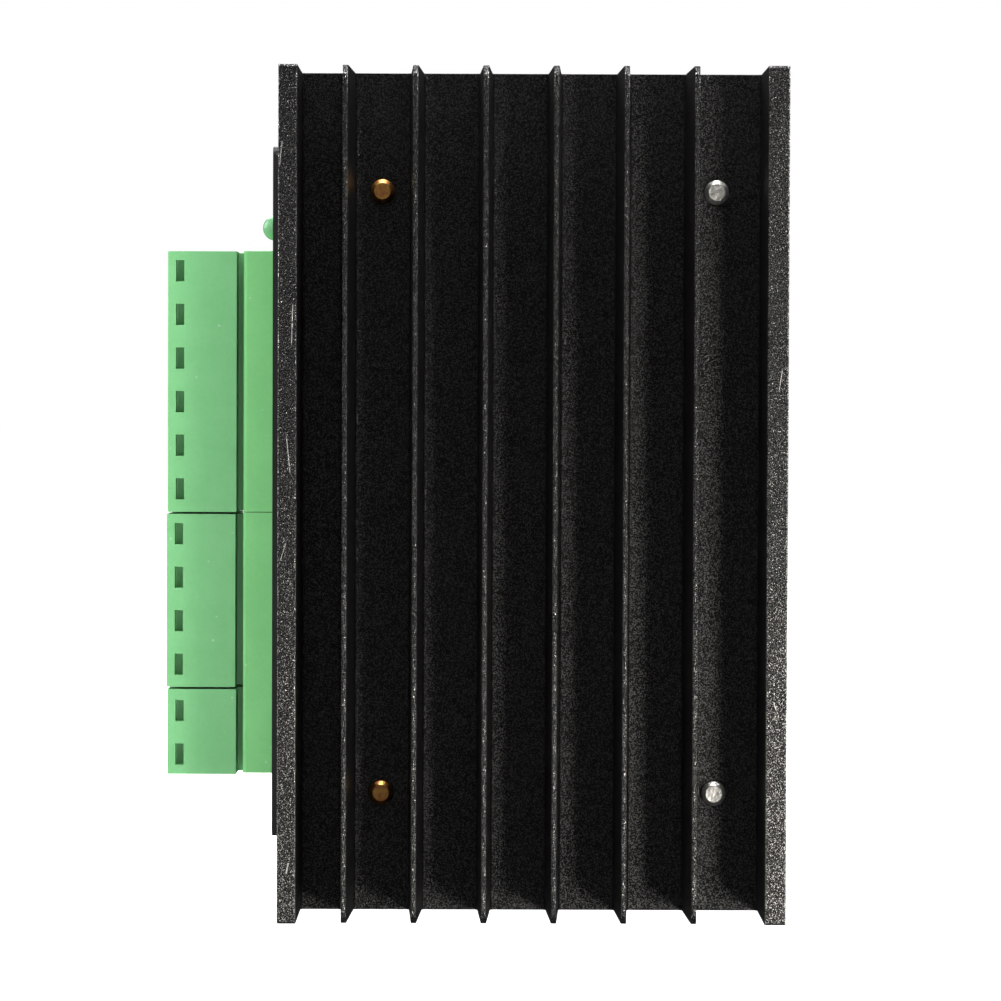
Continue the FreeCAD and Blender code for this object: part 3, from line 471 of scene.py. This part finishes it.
plug_green = moulded("green_nylon_plug", paint(0.126, 0.384, 0.146), paint(0.15, 0.422, 0.173))
header_green = moulded("green_nylon_header", paint(0.15, 0.462, 0.156), paint(0.172, 0.508, 0.179))
switch_red = moulded("red_switch_body", paint(0.42, 0.015, 0.015), paint(0.5, 0.02, 0.02), rough=0.3)
slider_white = moulded("white_slider", paint(0.74, 0.73, 0.7), paint(0.8, 0.79, 0.76), rough=0.3)
black_mould = moulded("black_moulding", paint(0.012, 0.012, 0.013), paint(0.02, 0.02, 0.022))
sleeve_black = moulded("shrink_sleeve", paint(0.01, 0.012, 0.03), paint(0.015, 0.018, 0.04), rough=0.22)
silicone = moulded("gap_pad_silicone", paint(0.2, 0.26, 0.34), paint(0.24, 0.3, 0.4), rough=0.6)

# %% [markdown]
# ## Plated metal
#
# The screws are zinc plated: two are passivated yellow, which drifts from straw to a faint pink and
# green, and two are bright. Lathe and thread-rolling marks run round them. Tin on the pins is
# softer and slightly cloudy, and nickel on the clamp cages is bright.

# %% Metal finishes


def plated(name, first, second, rough, blotch_mm=0.8, facets_mm=0.12, depth_mm=0.015, metallic=1.0):
    """A plated metal: its colour drifts between two tones and small dents break up the gloss."""

    def recipe(start):
        blotch = grain(start, blotch_mm, detail=3.0)
        marks = grain(start, facets_mm, detail=3.0, seed=4.0)
        return {
            "Base Color": blend_paint(start, blotch.between(0.35, 0.65), first, second),
            "Metallic": metallic,
            "Roughness": rough + marks * 0.18,
            "Normal": bumps(start, marks, depth_mm, 0.8),
        }

    return finish(name, recipe)


yellow_zinc = plated("yellow_passivated_zinc", paint(0.85, 0.47, 0.12), paint(0.66, 0.25, 0.1), 0.26,
                     0.5, 0.4, 0.05)
bright_zinc = plated("bright_zinc", paint(0.8, 0.79, 0.76), paint(0.5, 0.49, 0.46), 0.3,
                     0.6, 0.5, 0.13, 0.95)
terminal_zinc = plated("terminal_screw_zinc", paint(0.7, 0.7, 0.71), paint(0.56, 0.56, 0.58), 0.24)
black_zinc = plated("black_zinc", paint(0.05, 0.05, 0.055), paint(0.09, 0.09, 0.1), 0.35)
tin = plated("bright_tin", paint(0.8, 0.79, 0.77), paint(0.7, 0.69, 0.67), 0.28)
nickel = plated("nickel_plate", paint(0.72, 0.69, 0.63), paint(0.6, 0.57, 0.52), 0.25)
brass = plated("turned_brass", paint(0.8, 0.58, 0.26), paint(0.68, 0.48, 0.22), 0.25)
can_aluminium = plated("can_aluminium", paint(0.8, 0.8, 0.81), paint(0.74, 0.74, 0.75), 0.3)

# %% Lamp lens finish


def lens_recipe(start):
    cast = grain(start, 0.8)
    return {
        "Base Color": blend_paint(start, cast, paint(0.34, 0.8, 0.42), paint(0.42, 0.88, 0.48)),
        "Roughness": 0.12 + grain(start, 0.3, seed=2.0) * 0.08,
        "Transmission Weight": 0.5,
        "IOR": 1.5,
        "Coat Weight": 0.3,
    }


lens_green = finish("tinted_epoxy_lens", lens_recipe)

# %% [markdown]
# ## Which finish goes where
#
# The record names a material slot for every node, so one table from slot to finish covers them all.

# %% Finishes by slot
FINISHES = {
    "black_extrusion": blasted_black,
    "black_sheet": powder_coat,
    "label_film": film,
    "black_screw": black_zinc,
    "board_laminate": board_lacquer,
    "brass_ring": brass,
    "yellow_zinc": yellow_zinc,
    "bright_zinc": bright_zinc,
    "gap_pad": silicone,
    "black_mould": black_mould,
    "resistor_body": black_mould,
    "can_aluminium": can_aluminium,
    "can_sleeve": sleeve_black,
    "lamp_lens": lens_green,
    "tinned_wire": tin,
    "switch_red": switch_red,
    "slider_white": slider_white,
    "header_green": header_green,
    "plug_green": plug_green,
    "tinned_contact": tin,
    "terminal_screw_zinc": terminal_zinc,
    "cage_nickel": nickel,
}
for node_name, node_object in frame["nodes"].items():
    for holder in node_object.material_slots:
        holder.material = FINISHES[slot_of_node[node_name]]

# %% [markdown]
# ## Softer edges
#
# No real edge is perfectly sharp: a moulded one has a radius from its tool, a sawn one a file's
# touch, and both catch a thin line of light. The CAD solids are sharp, so each visible piece gets a
# copy whose edges are bevelled. Flat triangles are dissolved into whole faces first, because a bevel
# can only run along edges that are really there. Weighted normals keep the large faces flat.

# %% Softening a CAD piece
FLAT = math.radians(1.0)
SHARP = math.radians(28.0)


def softened(node_name, width_mm, segments=2):
    """A copy of a CAD node with its sharp edges bevelled; it stands for that node."""
    source = frame["nodes"][node_name]
    mesh = source.data.copy()
    for attribute in [a for a in mesh.attributes if a.name == "custom_normal"]:
        mesh.attributes.remove(attribute)
    work = bmesh.new()
    work.from_mesh(mesh)
    bmesh.ops.remove_doubles(work, verts=work.verts, dist=0.0002 * MM)
    bmesh.ops.dissolve_limit(work, angle_limit=FLAT, verts=work.verts, edges=work.edges)
    edges = [edge for edge in work.edges if len(edge.link_faces) == 2 and edge.calc_face_angle(0) > SHARP]
    bmesh.ops.bevel(work, geom=edges, offset=width_mm * MM, offset_type="OFFSET", segments=segments,
                    profile=0.5, affect="EDGES", clamp_overlap=True)
    work.to_mesh(mesh)
    work.free()
    mesh.polygons.foreach_set("use_smooth", [True] * len(mesh.polygons))
    mesh.set_sharp_from_angle(angle=math.radians(50))
    mesh.materials.clear()
    mesh.materials.append(FINISHES[slot_of_node[node_name]])
    piece = bpy.data.objects.new(node_name + "_soft", mesh)
    bpy.context.scene.collection.objects.link(piece)
    weighted = piece.modifiers.new("flat_faces", "WEIGHTED_NORMAL")
    weighted.keep_sharp = True
    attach(piece, body_of_node[node_name])
    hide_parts(node_name)
    return piece


EDGE_WIDTHS = {"heatsink": 0.1, "cover": 0.12, "header_signal": 0.12, "header_power": 0.12,
               "plug_signal": 0.16, "plug_motor": 0.16, "plug_supply": 0.16, "dip_switch_body": 0.12,
               "board_screws_yellow": 0.06, "board_screws_silver": 0.06, "cover_screws": 0.05}
for number in range(1, 13):
    EDGE_WIDTHS["terminal_screw_%02d" % number] = 0.08
    EDGE_WIDTHS["clamp_cage_%02d" % number] = 0.08
for number in range(1, 7):
    EDGE_WIDTHS["dip_slider_%d" % number] = 0.1
for node_name, width in EDGE_WIDTHS.items():
    piece = softened(node_name, width)
    print(piece.name, len(piece.data.polygons), "faces")

# %% [markdown]
# ## The lamp's lens
#
# A round lamp is a cast epoxy lens: a dome, a straight barrel and a small rim at its foot. The CAD
# ball is made of flat facets, which show against a pale floor, so the lens is turned again here as
# one smooth profile. The profile is a list of radius and depth pairs, and each pair becomes a ring.

# %% Turning a profile
STEPS_ROUND = 64


def turned(name, profile, centre, axis, material):
    """A round piece: profile pairs are a radius and a distance along the axis, in metres."""
    work = bmesh.new()
    rings = []
    for radius, depth in profile:
        if radius == 0:
            rings.append([work.verts.new((0, 0, depth))])
            continue
        ring = []
        for step in range(STEPS_ROUND):
            angle = 2 * math.pi * step / STEPS_ROUND
            ring.append(work.verts.new((radius * math.cos(angle), radius * math.sin(angle), depth)))
        rings.append(ring)
    for first, second in zip(rings, rings[1:]):
        for step in range(STEPS_ROUND):
            after = (step + 1) % STEPS_ROUND
            corners = [first[step % len(first)], first[after % len(first)],
                       second[after % len(second)], second[step % len(second)]]
            unique = [corner for place, corner in enumerate(corners) if corner not in corners[:place]]
            work.faces.new(unique)
    turn = Vector((0, 0, 1)).rotation_difference(Vector(axis)).to_matrix().to_4x4()
    turn.translation = Vector(centre)
    work.transform(turn)
    bmesh.ops.recalc_face_normals(work, faces=work.faces)
    mesh = bpy.data.meshes.new(name)
    work.to_mesh(mesh)
    work.free()
    mesh.polygons.foreach_set("use_smooth", [True] * len(mesh.polygons))
    mesh.set_sharp_from_angle(angle=math.radians(40))
    mesh.materials.append(material)
    piece = bpy.data.objects.new(name, mesh)
    bpy.context.scene.collection.objects.link(piece)
    return piece


def lamp_lens():
    """The indicator lamp's lens, in the place that the CAD lamp has."""
    low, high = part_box("power_led")
    rim_radius = (high[1] - low[1]) / 2
    radius = rim_radius - 0.45 * MM
    rim = 0.5 * MM
    length = high[0] - low[0]
    centre = (low[0], (low[1] + high[1]) / 2, (low[2] + high[2]) / 2)
    dome = []
    for step in range(13):
        angle = math.pi / 2 * step / 12
        dome.append((radius * math.sin(angle), radius * (1 - math.cos(angle))))
    foot = [(radius, length - rim), (rim_radius - 0.1 * MM, length - rim),
            (rim_radius, length - rim + 0.1 * MM), (rim_radius, length), (0, length)]
    piece = turned("lamp_lens", dome + foot, centre, (1, 0, 0), lens_green)
    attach(piece, "frame")
    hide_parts("power_led")
    return piece


print(lamp_lens().name, "turned")

# %% [markdown]
# ## Print on the front
#
# The film on a driver's front names its terminals and explains its switches. Here the print is
# only generic: pole numbers, switch numbers, frames and a chart of switch settings. Screen print is a
# real layer of ink, so each mark is a thin raised piece a few hundredths of a millimetre thick,
# which also keeps its edges sharp in every view.

# %% Ink
LABEL_LOW, LABEL_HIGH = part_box("label_plate")
INK_DEPTH = 0.03 * MM
INK_FACE = LABEL_HIGH[1]


def ink_recipe(shade):
    """A printed ink in one colour, a little uneven, as ink on film is."""

    def recipe(start):
        even = grain(start, 0.3, detail=3.0)
        light = tuple(0.85 * part for part in shade[:3]) + (1.0,)
        return {
            "Base Color": blend_paint(start, even.between(0.3, 0.7), light, shade),
            "Roughness": 0.4 + even * 0.12,
            "Normal": bumps(start, even, 0.006, 0.4),
        }

    return recipe


dark_ink = finish("dark_ink", ink_recipe(paint(0.012, 0.013, 0.016)))
blue_ink = finish("blue_ink", ink_recipe(paint(0.02, 0.07, 0.2)))


def block_of_ink(work, x, z, width, height):
    """Adds one raised rectangle to a print; its place and size are in metres."""
    made = bmesh.ops.create_cube(work, size=1.0)["verts"]
    for vertex in made:
        vertex.co.x = x + vertex.co.x * width
        vertex.co.y = INK_FACE + (vertex.co.y + 0.5) * INK_DEPTH
        vertex.co.z = z + vertex.co.z * height


def frame_of_ink(work, x, z, width, height, line):
    """Four thin strips around a rectangle."""
    block_of_ink(work, x, z + (height - line) / 2, width, line)
    block_of_ink(work, x, z - (height - line) / 2, width, line)
    block_of_ink(work, x + (width - line) / 2, z, line, height - 2 * line)
    block_of_ink(work, x - (width - line) / 2, z, line, height - 2 * line)


def number_of_ink(work, text, x, z, size):
    """A number in the default typeface, upright and read from the front."""
    curve = bpy.data.curves.new("number", "FONT")
    curve.body = text
    curve.size = size
    curve.align_x = "CENTER"
    curve.align_y = "CENTER"
    curve.resolution_u = 4
    curve.extrude = INK_DEPTH / 2
    holder = bpy.data.objects.new("number", curve)
    mesh = bpy.data.meshes.new_from_object(holder)
    turn = Matrix(((-1, 0, 0, x), (0, 0, 1, INK_FACE + INK_DEPTH / 2), (0, 1, 0, z), (0, 0, 0, 1)))
    mesh.transform(turn)
    work.from_mesh(mesh)
    bpy.data.meshes.remove(mesh)
    bpy.data.objects.remove(holder)
    bpy.data.curves.remove(curve)


def printed(name, work, ink):
    """Turns a finished print into a piece on the front of the cover."""
    mesh = bpy.data.meshes.new(name)
    work.to_mesh(mesh)
    work.free()
    mesh.materials.append(ink)
    piece = bpy.data.objects.new(name, mesh)
    bpy.context.scene.collection.objects.link(piece)
    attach(piece, "frame")
    print(name, len(mesh.polygons), "faces")
    return piece


# %% Numbers beside the terminals and the switches
numbers = bmesh.new()
pole_zs = []
for number in range(1, 13):
    low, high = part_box("terminal_screw_%02d" % number)
    pole_zs.append((low[2] + high[2]) / 2)
    number_of_ink(numbers, str(13 - number), LABEL_LOW[0] + 3.2 * MM, pole_zs[-1], 2.6 * MM)
for number in range(1, 7):
    low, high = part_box("dip_slider_%d" % number)
    number_of_ink(numbers, str(7 - number), LABEL_HIGH[0] - 2.2 * MM, (low[2] + high[2]) / 2, 2.1 * MM)
printed("printed_numbers", numbers, dark_ink)

# %% Frames round each group of terminals, the settings chart and two bands
GROUPS = ((0, 2), (2, 6), (6, 12))
lines = bmesh.new()
pitch = pole_zs[1] - pole_zs[0]
for first, last in GROUPS:
    height = (last - first) * pitch - 0.6 * MM
    middle = (pole_zs[first] + pole_zs[last - 1]) / 2
    frame_of_ink(lines, LABEL_LOW[0] + 3.2 * MM, middle, 5.2 * MM, height, 0.25 * MM)
low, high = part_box("dip_switch_body")
frame_of_ink(lines, LABEL_HIGH[0] - 2.2 * MM, (low[2] + high[2]) / 2, 3.6 * MM, 16.4 * MM, 0.25 * MM)
CHART_ROWS = 8
CHART_COLUMNS = 3
CHART_STEP = 3.6 * MM
CHART_ROW = 3.2 * MM
CHART_X = 3.0 * MM
CHART_APART = 15.5 * MM
SQUARE = (2.4 * MM, 2.0 * MM)
chart_width = (CHART_COLUMNS + 1.4) * CHART_STEP
chart_height = (CHART_ROWS + 0.6) * CHART_ROW
chart_middle = (LABEL_LOW[2] + LABEL_HIGH[2]) / 2
for chart_z, code in ((chart_middle + CHART_APART, 5), (chart_middle - CHART_APART, 3)):
    frame_of_ink(lines, CHART_X, chart_z, chart_width, chart_height, 0.3 * MM)
    print("chart from", round((chart_z - chart_height / 2) / MM, 1), "mm up; the film starts at",
          round(LABEL_LOW[2] / MM, 1), "mm")
    for row in range(CHART_ROWS):
        for column in range(CHART_COLUMNS):
            x = CHART_X + (column - 1) * CHART_STEP * 1.2
            z = chart_z + (row - (CHART_ROWS - 1) / 2) * CHART_ROW
            is_on = (row * code >> column) & 1
            if is_on:
                block_of_ink(lines, x, z, *SQUARE)
            else:
                frame_of_ink(lines, x, z, *SQUARE, 0.2 * MM)
printed("printed_lines", lines, dark_ink)
bands = bmesh.new()
band_width = LABEL_HIGH[0] - LABEL_LOW[0] - 1.2 * MM
for z in (LABEL_HIGH[2] - 2.2 * MM, LABEL_LOW[2] + 1.4 * MM):
    block_of_ink(bands, (LABEL_LOW[0] + LABEL_HIGH[0]) / 2, z, band_width, 1.6 * MM)
printed("printed_bands", bands, blue_ink)
